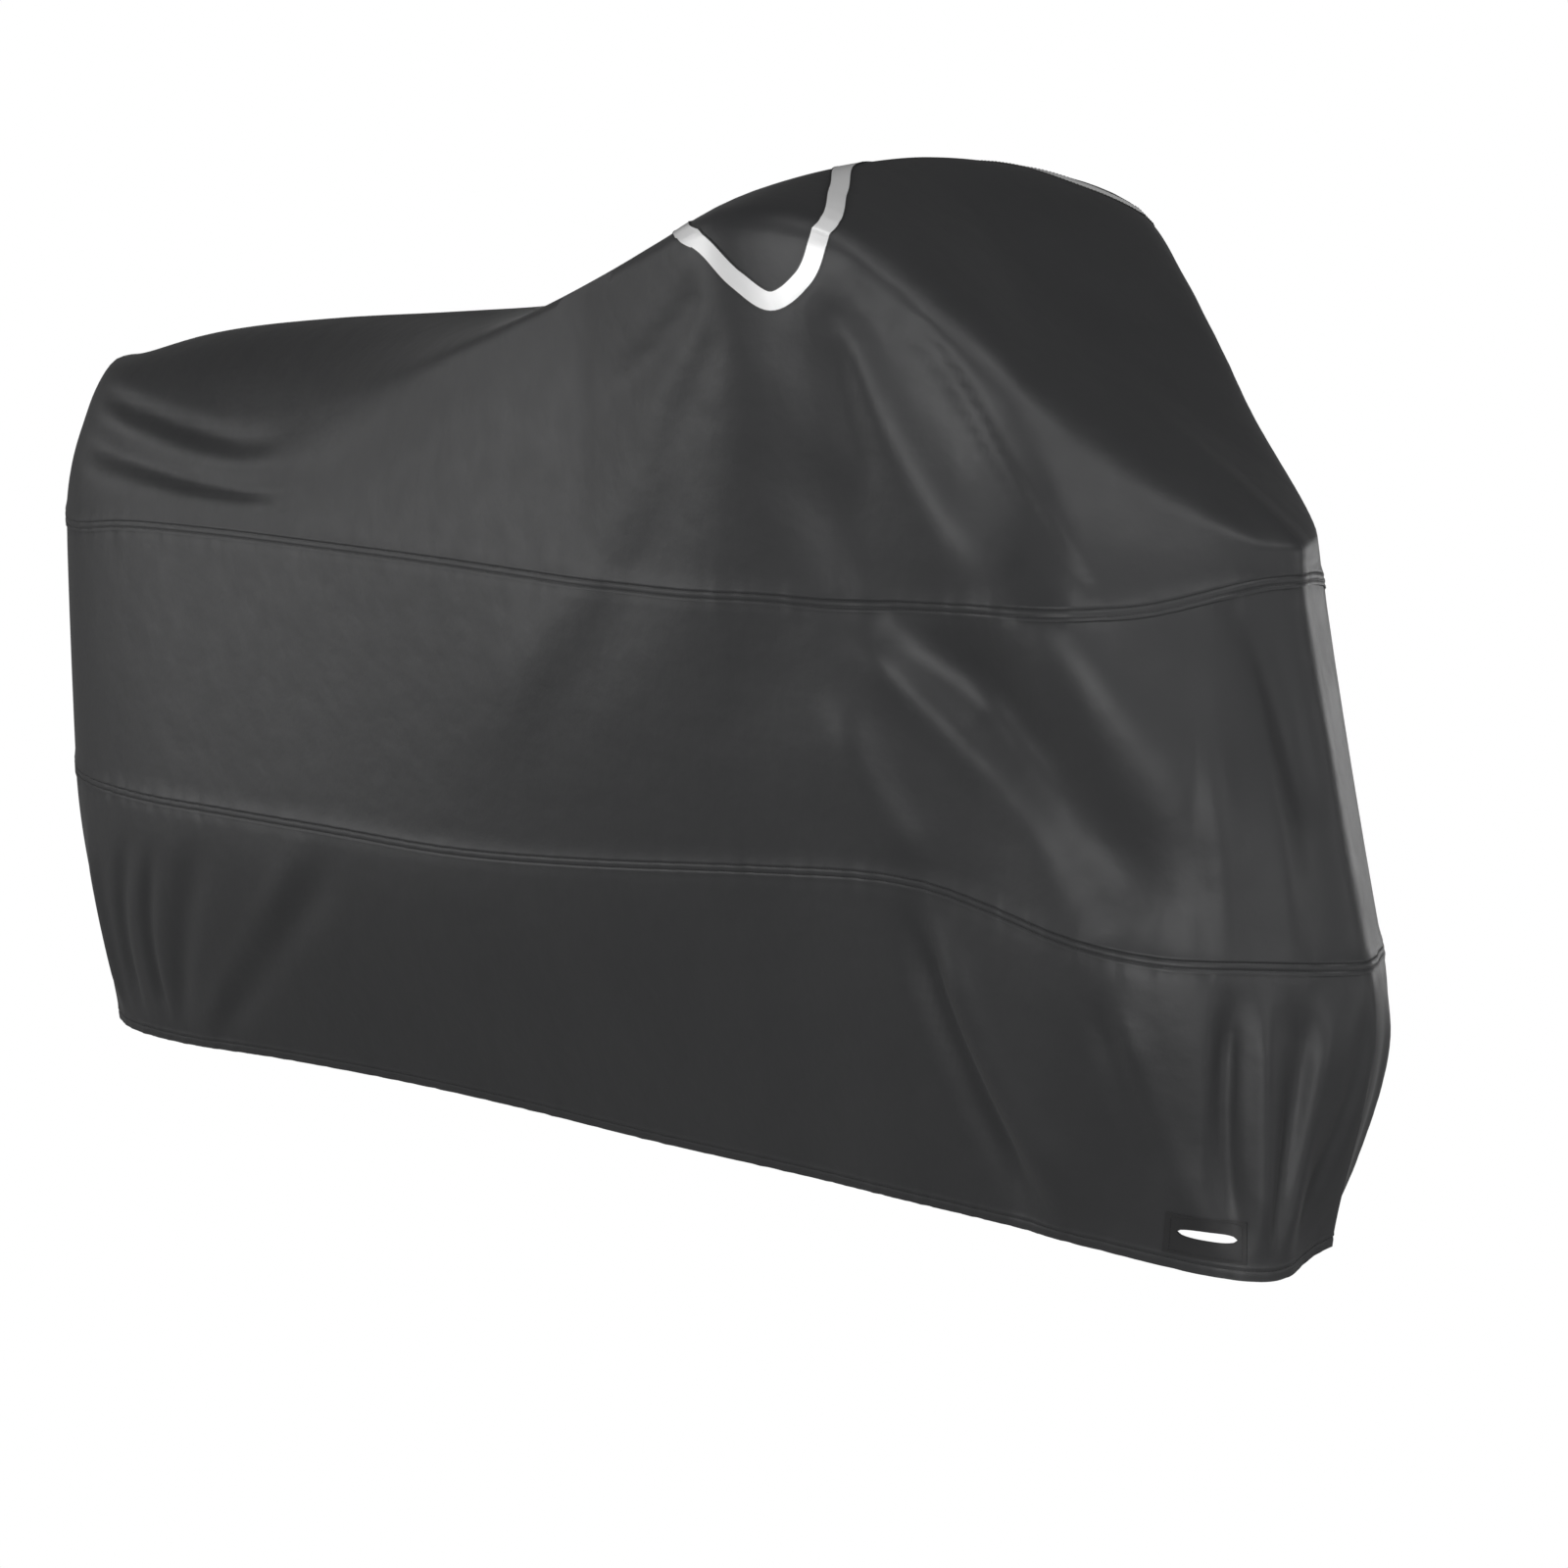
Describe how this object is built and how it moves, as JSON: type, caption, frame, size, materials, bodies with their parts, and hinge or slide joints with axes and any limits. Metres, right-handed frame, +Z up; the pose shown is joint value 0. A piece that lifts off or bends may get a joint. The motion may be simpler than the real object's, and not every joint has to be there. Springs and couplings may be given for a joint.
{
  "type": "bicycle cover",
  "caption": "Hollow fitted cover of dark coated cloth for a parked bicycle, with seamed panels, a turned hem, lock slots and silver tape at the handlebar.",
  "frame": {"origin": "on the ground under the middle of the cover's box", "axes": "+X towards the front wheel, +Y to the bicycle's left, +Z up"},
  "size_m": [1.9876, 0.6426, 1.1243],
  "materials": {
    "cover_cloth": "coated polyester, charcoal, dull sheen",
    "silver_tape": "silver reflective tape, satin",
    "patch_cloth": "coated polyester, black, matt"
  },
  "bodies": {
    "root": {"crown_panel": "cover_cloth", "middle_band": "cover_cloth", "skirt": "cover_cloth", "reflective_tape": "silver_tape", "lock_patch_near": "patch_cloth", "lock_patch_far": "patch_cloth"}
  },
  "joints": []
}
